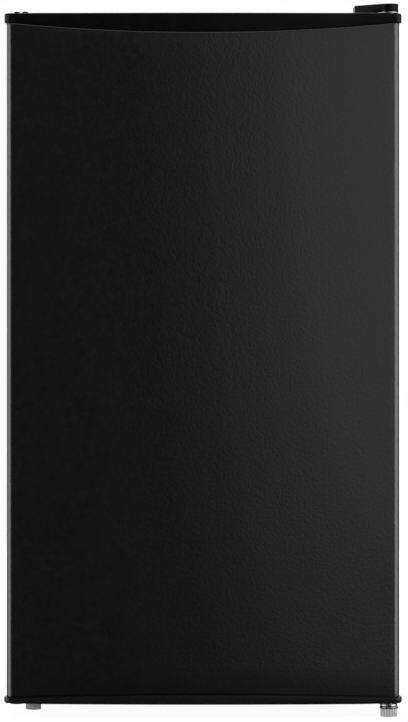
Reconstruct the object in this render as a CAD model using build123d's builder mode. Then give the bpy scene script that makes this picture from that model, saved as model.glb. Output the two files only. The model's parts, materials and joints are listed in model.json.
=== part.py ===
from build123d import *

import math
import os

# Free-standing compact refrigerator with one bowed door, built piece by piece.
# Frame: millimetres, +Z up, front of the door towards -Y, hinge side on +X.
# The origin is on the floor, under the middle of the overall box.

os.makedirs("parts", exist_ok=True)

# ------------------------------------------------------------------ driving dimensions
# door, seen from the front
PANEL_HALF = 233.3        # half width of the steel door skin
TOP_BAND_HALF = 236.9     # half width of the upper end cap at its front corners, before they are rounded
BOTTOM_BAND_HALF = 237.5  # the same for the lower end cap
BAND_BACK_HALF = 234.0    # both caps draw in to this at the back
BAND_CORNER = 9.0         # rounded front corners of the caps
Z_DOOR_BOT = 16.5
Z_DOOR_TOP = 836.7
Z_TOP_EAR = 825.3         # underside of the upper cap's ears
Z_BOT_EAR = 24.6          # upper side of the lower cap's band
TOP_ARCH_MID = 812.9      # the skin's upper edge dips to this in the middle
BOT_ARCH_MID = 29.4       # the skin's lower edge rises to this in the middle
# door, seen from above
Y_CROWN = -225.0          # front of the bowed skin on the centre line
BOW = 10.0                # sagitta of the bow over the skin's width
SKIN = 1.0                # sheet thickness of the skin
CORNER = 7.5              # rolled front corners of the skin
Y_SKIN_BACK = -180.0
Y_DOOR_BACK = -178.0
BOW_R = (PANEL_HALF**2 + BOW**2) / (2 * BOW)
# hinge line
HX, HY = 221.6, -199.0
# front foot away from the hinge; the other one is under the hinge line
LFX, LFY = -206.4, -125.0
# cabinet
CAB_HALF = 232.0
SHEET = 1.0
BEND = 6.0                # outer bend radius of the wrapper's top corners
Y_CAB_FRONT = -170.0
Y_CAB_BACK = 180.0
Z_CAB_BOT = 15.5
Z_CAB_TOP = 838.0
Y_STEP = 70.0             # front wall of the machine compartment
Z_STEP = 215.0            # its ceiling
# liner, inside faces
IN_HALF = 195.0
IN_BACK = 140.0
IN_FLOOR = 55.0
IN_TOP = 798.0
IN_HUMP_Y = 35.0
IN_HUMP_Z = 250.0
LINER = 2.0
LINER_R = 12.0            # inside corner radius of the liner
SHELF_LEVELS = (262.0, 332.0, 402.0, 472.0, 542.0)
LOWER_SHELF_Z = 262.0
UPPER_SHELF_Z = 472.0
# condenser
Y_COIL = 200.0
COIL_R = 2.4
PASSES = 12
PITCH = 44.0
Z_COIL_TOP = 780.0
COIL_HALF = 185.0

FINISHED = {}


def slab(x0, x1, y0, y1, z0, z1, mode=Mode.ADD):
    """A rectangular block between two corners, in the part being built."""
    with Locations(((x0 + x1) / 2, (y0 + y1) / 2, (z0 + z1) / 2)):
        Box(x1 - x0, y1 - y0, z1 - z0, mode=mode)


def rod(x, y, z0, z1, r, mode=Mode.ADD):
    """An upright cylinder."""
    with Locations((x, y, z0)):
        Cylinder(r, z1 - z0, align=(Align.CENTER, Align.CENTER, Align.MIN), mode=mode)


def rod_y(x, z, y0, y1, r, mode=Mode.ADD):
    """A cylinder lying front to back."""
    with Locations(Location((x, y0, z), (-90, 0, 0))):
        Cylinder(r, y1 - y0, align=(Align.CENTER, Align.CENTER, Align.MIN), mode=mode)


def rod_x(y, z, x0, x1, r, mode=Mode.ADD):
    """A cylinder lying left to right."""
    with Locations(Location((x0, y, z), (0, 90, 0))):
        Cylinder(r, x1 - x0, align=(Align.CENTER, Align.CENTER, Align.MIN), mode=mode)


def arc_y(x, inset):
    """Depth of the bowed front, moved back by inset, at a given x."""
    return Y_CROWN + BOW_R - math.sqrt((BOW_R - inset) ** 2 - x * x)


def bowed(half, inset, y_back, corner, half_back=None):
    """Plan outline of the bowed door front: an arc, rolled corners and sides that are straight or draw in to half_back."""
    y_side = arc_y(half, inset)
    back = half if half_back is None else half_back
    with BuildSketch() as outline:
        with BuildLine():
            ThreePointArc((-half, y_side), (0, Y_CROWN + inset), (half, y_side))
            Polyline((half, y_side), (back, y_back), (-back, y_back), (-half, y_side))
        make_face()
        fillet(outline.vertices().group_by(Axis.Y)[0], corner)
    return outline.sketch


def keep(name, part):
    part.label = name
    FINISHED[name] = part


# ------------------------------------------------------------------ door
# plan outlines used by the door's pieces
SKIN_OUT = bowed(PANEL_HALF, 0, Y_SKIN_BACK, CORNER)
SKIN_IN = bowed(PANEL_HALF - SKIN, SKIN, Y_SKIN_BACK + 4, CORNER - SKIN)
SKIRT_OUT = bowed(PANEL_HALF - 1.3, 1.3, Y_SKIN_BACK, CORNER - 1.3)
SKIRT_IN = bowed(PANEL_HALF - 4.0, 4.0, Y_SKIN_BACK - 2.7, CORNER - 4.0)
TOP_BAND = bowed(TOP_BAND_HALF, 1.3, Y_SKIN_BACK, BAND_CORNER, BAND_BACK_HALF)
BOTTOM_BAND = bowed(BOTTOM_BAND_HALF, 1.3, Y_SKIN_BACK, BAND_CORNER, BAND_BACK_HALF)
FOAM_MAIN = bowed(PANEL_HALF - 1.6, 1.6, Y_SKIN_BACK, CORNER - 1.4)
FOAM_END = bowed(PANEL_HALF - 4.4, 4.4, Y_SKIN_BACK - 3.1, CORNER - 4.0)

# steel skin: bowed front, rolled corners, straight returns, arched top and bottom edges
with BuildPart() as door_outer_panel:
    with BuildSketch(Plane.XY.offset(Z_BOT_EAR)):
        add(SKIN_OUT)
        add(SKIN_IN, mode=Mode.SUBTRACT)
    extrude(amount=Z_TOP_EAR - Z_BOT_EAR)
    with BuildSketch(Plane.XZ):
        with BuildLine():
            ThreePointArc((-PANEL_HALF - 1, Z_TOP_EAR + 0.1), (0, TOP_ARCH_MID), (PANEL_HALF + 1, Z_TOP_EAR + 0.1))
            Polyline((PANEL_HALF + 1, Z_TOP_EAR + 0.1), (PANEL_HALF + 1, 860), (-PANEL_HALF - 1, 860), (-PANEL_HALF - 1, Z_TOP_EAR + 0.1))
        make_face()
    extrude(amount=400, both=True, mode=Mode.SUBTRACT)
    with BuildSketch(Plane.XZ):
        with BuildLine():
            ThreePointArc((-PANEL_HALF - 1, Z_BOT_EAR - 0.1), (0, BOT_ARCH_MID), (PANEL_HALF + 1, Z_BOT_EAR - 0.1))
            Polyline((PANEL_HALF + 1, Z_BOT_EAR - 0.1), (PANEL_HALF + 1, 0), (-PANEL_HALF - 1, 0), (-PANEL_HALF - 1, Z_BOT_EAR - 0.1))
        make_face()
    extrude(amount=400, both=True, mode=Mode.SUBTRACT)
keep("door_outer_panel", door_outer_panel.part)

# upper end cap: a skirt inside the skin, a visible band with ears, pivot bosses on both sides
Z_SKIRT_LO = 806.0
with BuildPart() as door_top_cap:
    with BuildSketch(Plane.XY.offset(Z_SKIRT_LO)):
        add(SKIRT_OUT)
    extrude(amount=Z_TOP_EAR - Z_SKIRT_LO)
    with BuildSketch(Plane.XY.offset(Z_TOP_EAR)):
        add(TOP_BAND)
    extrude(amount=Z_DOOR_TOP - Z_TOP_EAR)
    fillet(door_top_cap.faces().sort_by(Axis.Z)[-1].edges(), 1.4)
    with BuildSketch(Plane.XY.offset(Z_SKIRT_LO)):
        add(SKIRT_IN)
    extrude(amount=Z_DOOR_TOP - 3.2 - Z_SKIRT_LO, mode=Mode.SUBTRACT)
    for side in (-1, 1):
        rod(side * HX, HY, 812.0, Z_DOOR_TOP - 3.0, 6.5)
    rod(-HX + 9.6, HY, 818.0, Z_DOOR_TOP - 3.0, 4.2)
    for side in (-1, 1):
        rod(side * HX, HY, 815.0, Z_DOOR_TOP + 1, 3.05, mode=Mode.SUBTRACT)
    rod(-HX + 9.6, HY, 822.0, Z_DOOR_TOP + 1, 2.55, mode=Mode.SUBTRACT)
keep("door_top_cap", door_top_cap.part)

# plugs in the unused pivot holes and the stop hole, for hanging the door on the other side
with BuildPart() as pivot_hole_plugs:
    rod(-HX, HY, 826.0, Z_DOOR_TOP, 3.0)
    rod(-HX, HY, Z_DOOR_TOP, Z_DOOR_TOP + 3.0, 3.4)
    rod(-HX + 9.6, HY, 826.0, Z_DOOR_TOP, 2.5)
    rod(-HX + 9.6, HY, Z_DOOR_TOP, Z_DOOR_TOP + 3.1, 3.7)
    fillet(pivot_hole_plugs.faces().filter_by(Plane.XY).sort_by(Axis.Z)[-2:].edges(), 0.9)
    rod(-HX, HY, Z_DOOR_BOT, 30.0, 6.9)
    rod(-HX, HY, Z_DOOR_BOT - 1.2, Z_DOOR_BOT, 8.5)
keep("pivot_hole_plugs", pivot_hole_plugs.part)

# lower end cap
Z_SKIRT_HI = 45.0
with BuildPart() as door_bottom_cap:
    with BuildSketch(Plane.XY.offset(Z_DOOR_BOT)):
        add(BOTTOM_BAND)
    extrude(amount=Z_BOT_EAR - Z_DOOR_BOT)
    fillet(door_bottom_cap.faces().sort_by(Axis.Z)[0].edges(), 3.0)
    with BuildSketch(Plane.XY.offset(Z_BOT_EAR)):
        add(SKIRT_OUT)
    extrude(amount=Z_SKIRT_HI - Z_BOT_EAR)
    with BuildSketch(Plane.XY.offset(Z_DOOR_BOT + 3.2)):
        add(SKIRT_IN)
    extrude(amount=Z_SKIRT_HI - Z_DOOR_BOT, mode=Mode.SUBTRACT)
    for side in (-1, 1):
        rod(side * HX, HY, Z_DOOR_BOT + 3.0, 40.0, 9.0)
    for side in (-1, 1):
        rod(side * HX, HY, Z_DOOR_BOT - 1, 40.0, 7.0, mode=Mode.SUBTRACT)
keep("door_bottom_cap", door_bottom_cap.part)

# nylon bush that carries the door on the lower pin
with BuildPart() as lower_hinge_bush:
    rod(HX, HY, Z_DOOR_BOT + 0.2, 40.0, 6.95)
    rod(HX, HY, Z_DOOR_BOT, 36.0, 5.05, mode=Mode.SUBTRACT)
keep("lower_hinge_bush", lower_hinge_bush.part)

# insulation of the door
DIKE_OUT_X, DIKE_IN_X = 185.0, 165.0
DIKE_Z0, DIKE_Z1 = 70.0, 785.0
DIKE_W = 20.0
Y_DIKE = -150.0
with BuildPart() as door_insulation:
    with BuildSketch(Plane.XY.offset(Z_SKIRT_HI + 0.5)):
        add(FOAM_MAIN)
    extrude(amount=Z_SKIRT_LO - Z_SKIRT_HI - 1.0)
    with BuildSketch(Plane.XY.offset(Z_DOOR_BOT + 3.5)):
        add(FOAM_END)
    extrude(amount=Z_SKIRT_HI + 0.5 - Z_DOOR_BOT - 3.5)
    with BuildSketch(Plane.XY.offset(Z_SKIRT_LO - 0.5)):
        add(FOAM_END)
    extrude(amount=Z_DOOR_TOP - 3.5 - Z_SKIRT_LO + 0.5)
    for side in (-1, 1):
        rod(side * HX, HY, 10.0, 42.0, 10.0, mode=Mode.SUBTRACT)
        rod(side * HX, HY, 810.0, 850.0, 7.5, mode=Mode.SUBTRACT)
    rod(-HX + 9.6, HY, 810.0, 850.0, 5.2, mode=Mode.SUBTRACT)
    # ridge that fills the liner's raised border
    slab(-DIKE_OUT_X + 2, DIKE_OUT_X - 2, Y_SKIN_BACK, Y_DIKE - 2, DIKE_Z0 + 2, DIKE_Z1 - 2)
    slab(-DIKE_IN_X - 2, DIKE_IN_X + 2, Y_SKIN_BACK, Y_DIKE, DIKE_Z0 + DIKE_W - 2, DIKE_Z1 - DIKE_W + 2, mode=Mode.SUBTRACT)
keep("door_insulation", door_insulation.part)

# formed inner liner of the door: flat flange, raised border, ledges for the racks
RACKS = {  # name: (floor z, back height, front height, inner y)
    "door_rack_lower": (96.0, 62.0, 88.0, -88.0),
    "door_rack_middle": (322.0, 40.0, 56.0, -92.0),
    "door_rack_upper": (512.0, 34.0, 44.0, -104.0),
}
with BuildPart() as door_liner:
    slab(-230.5, 230.5, Y_SKIN_BACK, Y_DOOR_BACK, Z_DOOR_BOT + 2.5, Z_DOOR_TOP - 2.5)
    slab(-DIKE_OUT_X, DIKE_OUT_X, Y_SKIN_BACK, Y_DIKE, DIKE_Z0, DIKE_Z1)
    fillet(door_liner.faces().sort_by(Axis.Y)[-1].edges(), 5.0)
    slab(-DIKE_IN_X, DIKE_IN_X, Y_DOOR_BACK, Y_DIKE + 1, DIKE_Z0 + DIKE_W, DIKE_Z1 - DIKE_W, mode=Mode.SUBTRACT)
    slab(-DIKE_OUT_X + 2, DIKE_OUT_X - 2, Y_SKIN_BACK - 1, Y_DIKE - 2, DIKE_Z0 + 2, DIKE_Z0 + DIKE_W - 2, mode=Mode.SUBTRACT)
    slab(-DIKE_OUT_X + 2, DIKE_OUT_X - 2, Y_SKIN_BACK - 1, Y_DIKE - 2, DIKE_Z1 - DIKE_W + 2, DIKE_Z1 - 2, mode=Mode.SUBTRACT)
    for side in (-1, 1):
        slab(*sorted((side * (DIKE_IN_X + 2), side * (DIKE_OUT_X - 2))), Y_SKIN_BACK - 1, Y_DIKE - 2, DIKE_Z0 + 2, DIKE_Z1 - 2, mode=Mode.SUBTRACT)
        for floor, _, _, _ in RACKS.values():
            slab(*sorted((side * (DIKE_IN_X - 7), side * (DIKE_IN_X + 1))), Y_DOOR_BACK - 1, Y_DIKE - 3, floor - 8, floor)
keep("door_liner", door_liner.part)

# racks: open trays with a raised rail, resting on the ledges
RACK_HALF = 162.5
RACK_WALL = 2.5
for rack_name, (floor, back_h, front_h, y_in) in RACKS.items():
    with BuildPart() as rack:
        with BuildSketch(Plane.YZ.offset(-RACK_HALF)):
            with BuildLine():
                Polyline(
                    (Y_DOOR_BACK + 0.4, floor), (y_in, floor), (y_in, floor + front_h),
                    (y_in - 14, floor + front_h), (-158.0, floor + back_h), (Y_DOOR_BACK + 0.4, floor + back_h), close=True,
                )
            make_face()
        extrude(amount=2 * RACK_HALF)
        fillet(rack.edges().filter_by(Axis.Z).group_by(Axis.Y)[-1], 12.0)
        slab(-RACK_HALF + RACK_WALL, RACK_HALF - RACK_WALL, Y_DOOR_BACK + 0.4 + RACK_WALL, y_in - RACK_WALL, floor + RACK_WALL, floor + 200, mode=Mode.SUBTRACT)
    keep(rack_name, rack.part)

# magnetic seal: a wide foot on the door and a narrower magnet pocket
GX0, GX1 = 200.0, 218.0
GZ = (33.0, 51.0, 802.0, 820.0)
with BuildPart() as door_gasket:
    slab(-GX1, GX1, Y_DOOR_BACK, Y_DOOR_BACK + 2.6, GZ[0], GZ[3])
    slab(-GX1 + 2.5, GX1 - 2.5, Y_DOOR_BACK + 2.6, Y_CAB_FRONT - 0.3, GZ[0] + 2.5, GZ[3] - 2.5)
    slab(-GX0, GX0, Y_DOOR_BACK - 1, Y_CAB_FRONT, GZ[1], GZ[2], mode=Mode.SUBTRACT)
    slab(-GX0 - 2.5, GX0 + 2.5, Y_DOOR_BACK + 2.6, Y_CAB_FRONT, GZ[1] - 2.5, GZ[2] + 2.5, mode=Mode.SUBTRACT)
keep("door_gasket", door_gasket.part)

# ------------------------------------------------------------------ cabinet
# outer wrapper: both sides and the top bent from one sheet, with narrow returns at the back
with BuildPart() as cabinet_wrapper:
    with BuildSketch(Plane.XZ.offset(-Y_CAB_BACK)) as section:
        with Locations((0, (Z_CAB_BOT + Z_CAB_TOP) / 2)):
            Rectangle(2 * CAB_HALF, Z_CAB_TOP - Z_CAB_BOT)
        fillet(section.vertices().group_by(Axis.Y)[-1], BEND)
    extrude(amount=Y_CAB_BACK - Y_CAB_FRONT)
    with BuildSketch(Plane.XZ.offset(-Y_CAB_BACK - 1)) as hollow:
        with Locations((0, (Z_CAB_BOT - 10 + Z_CAB_TOP - SHEET) / 2)):
            Rectangle(2 * (CAB_HALF - SHEET), Z_CAB_TOP - SHEET - Z_CAB_BOT + 10)
        fillet(hollow.vertices().group_by(Axis.Y)[-1], BEND - SHEET)
    extrude(amount=Y_CAB_BACK - Y_CAB_FRONT + 2, mode=Mode.SUBTRACT)
    with BuildSketch(Plane.XZ.offset(-Y_CAB_BACK)):
        for side in (-1, 1):
            with BuildLine():
                a, b, top = side * (CAB_HALF - 12), side * (CAB_HALF - 0.5), Z_CAB_TOP - 0.5
                Line((a, Z_STEP), (b, Z_STEP))
                Line((b, Z_STEP), (b, top - BEND + 0.5))
                bend_mid = (BEND - 0.5) * math.sqrt(0.5)
                ThreePointArc((b, top - BEND + 0.5), (b - side * (BEND - 0.5 - bend_mid), top - BEND + 0.5 + bend_mid), (b - side * (BEND - 0.5), top))
                Line((b - side * (BEND - 0.5), top), (a, top))
                Line((a, top), (a, Z_STEP))
            make_face()
    extrude(amount=SHEET)
    for x in (191.0, 216.0):
        for side in (-1, 1):
            rod(side * x, -142.0, Z_CAB_TOP - 3, Z_CAB_TOP + 1, 2.6, mode=Mode.SUBTRACT)
keep("cabinet_wrapper", cabinet_wrapper.part)

with BuildPart() as back_panel:
    slab(-CAB_HALF + 12, CAB_HALF - 12, Y_CAB_BACK - SHEET, Y_CAB_BACK, Z_STEP, Z_CAB_TOP - SHEET)
    for z in (330.0, 470.0, 610.0):
        slab(-200.0, 200.0, Y_CAB_BACK - SHEET - 1, Y_CAB_BACK - 0.4, z - 6, z + 6, mode=Mode.SUBTRACT)
keep("back_panel", back_panel.part)

with BuildPart() as bottom_panel:
    slab(-CAB_HALF + SHEET, CAB_HALF - SHEET, Y_CAB_FRONT, Y_STEP - SHEET, Z_CAB_BOT, Z_CAB_BOT + SHEET)
    rod(LFX, LFY, Z_CAB_BOT - 1, Z_CAB_BOT + 2, 6.0, mode=Mode.SUBTRACT)
    for x, y in ((182.0, -150.0), (215.0, -150.0), (198.0, -132.0)):
        rod(x, y, Z_CAB_BOT - 1, Z_CAB_BOT + 2, 2.6, mode=Mode.SUBTRACT)
keep("bottom_panel", bottom_panel.part)

with BuildPart() as compartment_wall:
    slab(-CAB_HALF + SHEET, CAB_HALF - SHEET, Y_STEP - SHEET, Y_STEP, Z_CAB_BOT, Z_STEP)
    slab(-CAB_HALF + SHEET, CAB_HALF - SHEET, Y_STEP, Y_CAB_BACK, Z_STEP - SHEET, Z_STEP)
keep("compartment_wall", compartment_wall.part)

# steel border that the seal's magnet closes on
with BuildPart() as front_frame:
    slab(-CAB_HALF + SHEET, CAB_HALF - SHEET, Y_CAB_FRONT, Y_CAB_FRONT + 1.2, Z_CAB_BOT + SHEET, Z_CAB_TOP - SHEET)
    fillet(front_frame.edges().filter_by(Axis.Y).group_by(Axis.Z)[-1], BEND - SHEET + 0.4)
    with BuildSketch(Plane.XZ.offset(-Y_CAB_FRONT - 5)):
        with Locations((0, (IN_FLOOR + IN_TOP) / 2)):
            RectangleRounded(2 * (IN_HALF + LINER), IN_TOP - IN_FLOOR + 2 * LINER, LINER_R + LINER)
    extrude(amount=10, mode=Mode.SUBTRACT)
keep("front_frame", front_frame.part)


def liner_prism(grow, y_front):
    """The inside space of the cabinet, stepped over the machine compartment, grown on all sides."""
    with BuildPart() as space:
        with BuildSketch(Plane.YZ.offset(-IN_HALF - grow)):
            with BuildLine():
                Polyline(
                    (y_front, IN_FLOOR - grow), (IN_HUMP_Y + grow, IN_FLOOR - grow), (IN_HUMP_Y + grow, IN_HUMP_Z - grow),
                    (IN_BACK + grow, IN_HUMP_Z - grow), (IN_BACK + grow, IN_TOP + grow), (y_front, IN_TOP + grow), close=True,
                )
            make_face()
        extrude(amount=2 * (IN_HALF + grow))
        inner_bend = [e for e in space.edges().filter_by(Axis.X) if abs(e.center().Y - IN_HUMP_Y - grow) < 0.1 and abs(e.center().Z - IN_HUMP_Z + grow) < 0.1]
        fillet(inner_bend, LINER_R - grow)
        fillet([e for e in space.edges() if e.center().Y > y_front + 0.5 and not (e.geom_type == GeomType.LINE and abs(e.center().X) < 1 and (abs(e.center().Y - IN_HUMP_Y - grow) < 0.1 and e.center().Z > IN_FLOOR + 50 or abs(e.center().Z - IN_HUMP_Z + grow) < 0.1 and e.center().Y < IN_BACK - 40))], LINER_R + grow)
    return space.part


LINER_OUT = liner_prism(LINER, Y_CAB_FRONT)
LINER_IN = liner_prism(0.0, Y_CAB_FRONT - 5)
LINER_ROOM = liner_prism(LINER + 0.3, Y_CAB_FRONT - 5)
with BuildPart() as inner_liner:
    add(LINER_OUT)
    add(LINER_IN, mode=Mode.SUBTRACT)
    for level in SHELF_LEVELS:
        for side in (-1, 1):
            slab(*sorted((side * (IN_HALF - 8), side * (IN_HALF if level == SHELF_LEVELS[0] else IN_HALF + 1))), -105.0, 122.0, level - 7, level)
keep("inner_liner", inner_liner.part)

with BuildPart() as cabinet_insulation:
    slab(-CAB_HALF + SHEET, CAB_HALF - SHEET, Y_CAB_FRONT + 1.2, Y_CAB_BACK - SHEET, Z_CAB_BOT + SHEET, Z_CAB_TOP - SHEET)
    fillet(cabinet_insulation.edges().filter_by(Axis.Y).group_by(Axis.Z)[-1], BEND - SHEET + 0.4)
    slab(-CAB_HALF, CAB_HALF, Y_STEP - SHEET, Y_CAB_BACK, Z_CAB_BOT, Z_STEP, mode=Mode.SUBTRACT)
    add(LINER_ROOM, mode=Mode.SUBTRACT)
    # room for the hinge backing plate, the foot insert, the screws and the foot
    slab(180.0, 229.0, -166.0, -126.0, Z_CAB_TOP - 12.0, Z_CAB_TOP, mode=Mode.SUBTRACT)
    slab(168.0, 228.5, -166.0, -122.0, Z_CAB_BOT, Z_CAB_BOT + 12.0, mode=Mode.SUBTRACT)
    rod(LFX, LFY, Z_CAB_BOT, 42.0, 11.0, mode=Mode.SUBTRACT)
    for x in (191.0, 216.0):
        rod(-x, -142.0, Z_CAB_TOP - 12, Z_CAB_TOP, 4.0, mode=Mode.SUBTRACT)
keep("cabinet_insulation", cabinet_insulation.part)

# ------------------------------------------------------------------ upper hinge
with BuildPart() as upper_hinge_plate:
    with BuildSketch(Plane.XY.offset(Z_CAB_TOP)):
        with Locations((HX, HY)):
            Circle(11.0)
        with Locations((207.75, -146.0)):
            Rectangle(44.5, 36.0)
        make_hull()
    extrude(amount=3.0)
    for x in (191.0, 216.0):
        rod(x, -142.0, Z_CAB_TOP - 1, Z_CAB_TOP + 4, 2.7, mode=Mode.SUBTRACT)
    # pin riveted into the plate
    rod(HX, HY, 818.0, Z_CAB_TOP + 1.0, 3.0)
    chamfer(upper_hinge_plate.faces().sort_by(Axis.Z)[0].edges(), 0.8)
    rod(HX, HY, Z_CAB_TOP + 3.0, Z_CAB_TOP + 4.6, 4.6)
    # shoulder of the pin, just clear of the door's cap
    rod(HX, HY, Z_DOOR_TOP + 0.3, Z_CAB_TOP + 0.5, 8.0)
keep("upper_hinge_plate", upper_hinge_plate.part)

# cover: leaves a line of the plate showing over the door, and rises a little to the back
with BuildPart() as upper_hinge_cover:
    with BuildSketch(Plane.XY.offset(Z_CAB_TOP + 0.9)):
        with Locations((HX, HY)):
            Circle(11.3)
        with Locations((207.65, -145.0)):
            Rectangle(50.1, 44.0)
        make_hull()
    extrude(amount=18.0)
    with BuildSketch(Plane.YZ.offset(150)):
        with BuildLine():
            Polyline((-230, 847.4), (-110, 854.15), (-110, 880), (-230, 880), close=True)
        make_face()
    extrude(amount=120, mode=Mode.SUBTRACT)
    fillet(upper_hinge_cover.faces().sort_by(Axis.Z)[-1].edges(), 0.6)
    slab(182.6, 232.7, Y_CAB_FRONT + 2, -123.0, Z_CAB_TOP, Z_CAB_TOP + 0.9)
    with BuildSketch(Plane.XY.offset(Z_CAB_TOP - 1)):
        with Locations((HX, HY)):
            Circle(8.8)
        with Locations((207.65, -145.0)):
            Rectangle(45.1, 39.0)
        make_hull()
    extrude(amount=9.6, mode=Mode.SUBTRACT)
    # the plate itself slips in under the cover
    with BuildSketch(Plane.XY.offset(Z_CAB_TOP - 1)):
        with Locations((HX, HY)):
            Circle(11.05)
        with Locations((207.75, -146.0)):
            Rectangle(44.7, 36.2)
        make_hull()
    extrude(amount=4.1, mode=Mode.SUBTRACT)
keep("upper_hinge_cover", upper_hinge_cover.part)

# plugs over the unused hinge screw holes on the other side of the cabinet
with BuildPart() as hinge_screw_plugs:
    for x in (191.0, 216.0):
        rod(-x, -142.0, Z_CAB_TOP - 8.0, Z_CAB_TOP, 2.5)
        rod(-x, -142.0, Z_CAB_TOP, Z_CAB_TOP + 1.8, 5.2)
    fillet(hinge_screw_plugs.faces().filter_by(Plane.XY).sort_by(Axis.Z)[-2:].edges(), 0.9)
keep("hinge_screw_plugs", hinge_screw_plugs.part)

# ------------------------------------------------------------------ lower hinge and feet
UPPER_SCREWS = (191.0, 216.0)
LOWER_SCREWS = ((182.0, -150.0), (215.0, -150.0), (198.0, -132.0))
with BuildPart() as lower_hinge_bracket:
    with BuildSketch(Plane.XY.offset(Z_CAB_BOT - 3.0)):
        with Locations((HX, HY)):
            Circle(10.0)
        with Locations((HX, (HY - 150.0) / 2)):
            Rectangle(20.0, -150.0 - HY)
        with Locations((200.3, -144.0)):
            Rectangle(62.6, 40.0)
    extrude(amount=3.0)
    for x, y in LOWER_SCREWS:
        rod(x, y, Z_CAB_BOT - 4, Z_CAB_BOT + 1, 2.7, mode=Mode.SUBTRACT)
    rod(HX, HY, Z_CAB_BOT - 4, Z_CAB_BOT + 1, 5.0, mode=Mode.SUBTRACT)
keep("lower_hinge_bracket", lower_hinge_bracket.part)

with BuildPart() as lower_hinge_pin:
    rod(HX, HY, Z_CAB_BOT - 3.0, 35.5, 5.0)
    chamfer(lower_hinge_pin.faces().sort_by(Axis.Z)[-1].edges(), 1.0)
    with BuildSketch(Plane.XY.offset(Z_CAB_BOT - 6.0)):
        with Locations((HX, HY)):
            RegularPolygon(10.9, 6)
    extrude(amount=3.0)
    rod(HX, HY, Z_CAB_BOT - 7, 30.5, 3.05, mode=Mode.SUBTRACT)
keep("lower_hinge_pin", lower_hinge_pin.part)

with BuildPart() as hinge_screws:
    for x in UPPER_SCREWS:
        rod(x, -142.0, Z_CAB_TOP - 9.0, Z_CAB_TOP + 3.0, 2.5)
        rod(x, -142.0, Z_CAB_TOP + 3.0, Z_CAB_TOP + 6.2, 4.8)
        slab(x - 3.4, x + 3.4, -142.6, -141.4, Z_CAB_TOP + 4.8, Z_CAB_TOP + 7, mode=Mode.SUBTRACT)
        slab(x - 0.6, x + 0.6, -145.4, -138.6, Z_CAB_TOP + 4.8, Z_CAB_TOP + 7, mode=Mode.SUBTRACT)
    for x, y in LOWER_SCREWS:
        rod(x, y, Z_CAB_BOT - 3.0, Z_CAB_BOT + 9.0, 2.5)
        rod(x, y, Z_CAB_BOT - 6.2, Z_CAB_BOT - 3.0, 4.8)
        slab(x - 3.4, x + 3.4, y - 0.6, y + 0.6, Z_CAB_BOT - 7, Z_CAB_BOT - 4.8, mode=Mode.SUBTRACT)
        slab(x - 0.6, x + 0.6, y - 3.4, y + 3.4, Z_CAB_BOT - 7, Z_CAB_BOT - 4.8, mode=Mode.SUBTRACT)
keep("hinge_screws", hinge_screws.part)

# tapped plates behind the sheet, under each hinge
with BuildPart() as hinge_backing_plates:
    slab(183.0, 225.0, -164.0, -128.0, Z_CAB_TOP - SHEET - 3.0, Z_CAB_TOP - SHEET)
    for x in UPPER_SCREWS:
        rod(x, -142.0, Z_CAB_TOP - 6, Z_CAB_TOP, 2.55, mode=Mode.SUBTRACT)
    slab(172.0, 226.0, -162.0, -124.0, Z_CAB_BOT + SHEET, Z_CAB_BOT + SHEET + 3.0)
    for x, y in LOWER_SCREWS:
        rod(x, y, Z_CAB_BOT, Z_CAB_BOT + 8, 2.55, mode=Mode.SUBTRACT)
keep("hinge_backing_plates", hinge_backing_plates.part)

# threaded insert for the foot away from the hinge
with BuildPart() as foot_insert:
    rod(LFX, LFY, Z_CAB_BOT + SHEET, 40.0, 10.0)
    rod(LFX, LFY, Z_CAB_BOT - 2.0, Z_CAB_BOT + SHEET, 5.9)
    rod(LFX, LFY, Z_CAB_BOT - 3.0, 36.0, 3.05, mode=Mode.SUBTRACT)
keep("foot_insert", foot_insert.part)

# the one under the hinge is coarsely ribbed, the other one finely
for name, fx, fy, top, stud, knob, ribs, groove in (
    ("front_foot_right", HX, HY, 9.3, 29.0, 10.1, 20, 1.15),
    ("front_foot_left", LFX, LFY, 9.3, 34.0, 9.3, 30, 0.45),
):
    with BuildPart() as foot:
        with BuildSketch():
            with Locations((fx, fy)):
                Circle(knob)
                with PolarLocations(knob + 0.1, ribs):
                    Circle(groove, mode=Mode.SUBTRACT)
        extrude(amount=top)
        rod(fx, fy, top, stud, 3.0)
        rod(fx, fy, -0.1, 1.2, 6.0, mode=Mode.SUBTRACT)
    keep(name, foot.part)

# ------------------------------------------------------------------ machine compartment
with BuildPart() as compressor_base:
    slab(-CAB_HALF + 4, CAB_HALF - 4, Y_STEP, 206.0, Z_CAB_BOT, Z_CAB_BOT + 2.0)
    slab(-CAB_HALF + 4, CAB_HALF - 4, 204.0, 206.0, Z_CAB_BOT + 2.0, Z_CAB_BOT + 14.0)
    slab(-CAB_HALF + 4, -160.0, 204.0, 206.0, Z_CAB_BOT + 2.0, 50.0)
    rod_y(-196.0, 35.0, 203.0, 207.0, 8.0, mode=Mode.SUBTRACT)
    for x in (-132.0, 12.0):
        for y in (92.0, 184.0):
            rod(x, y, Z_CAB_BOT - 1, Z_CAB_BOT + 4, 4.0, mode=Mode.SUBTRACT)
    for x in (-200.0, 200.0):
        rod(x, 178.0, Z_CAB_BOT - 1, Z_CAB_BOT + 4, 3.1, mode=Mode.SUBTRACT)
keep("compressor_base", compressor_base.part)

with BuildPart() as rear_feet:
    for x in (-200.0, 200.0):
        rod(x, 178.0, 0.0, Z_CAB_BOT, 12.0)
        rod(x, 178.0, Z_CAB_BOT, Z_CAB_BOT + 6.0, 3.0)
    chamfer(rear_feet.faces().filter_by(Plane.XY).sort_by(Axis.Z)[:2].edges(), 1.5)
keep("rear_feet", rear_feet.part)

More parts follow.
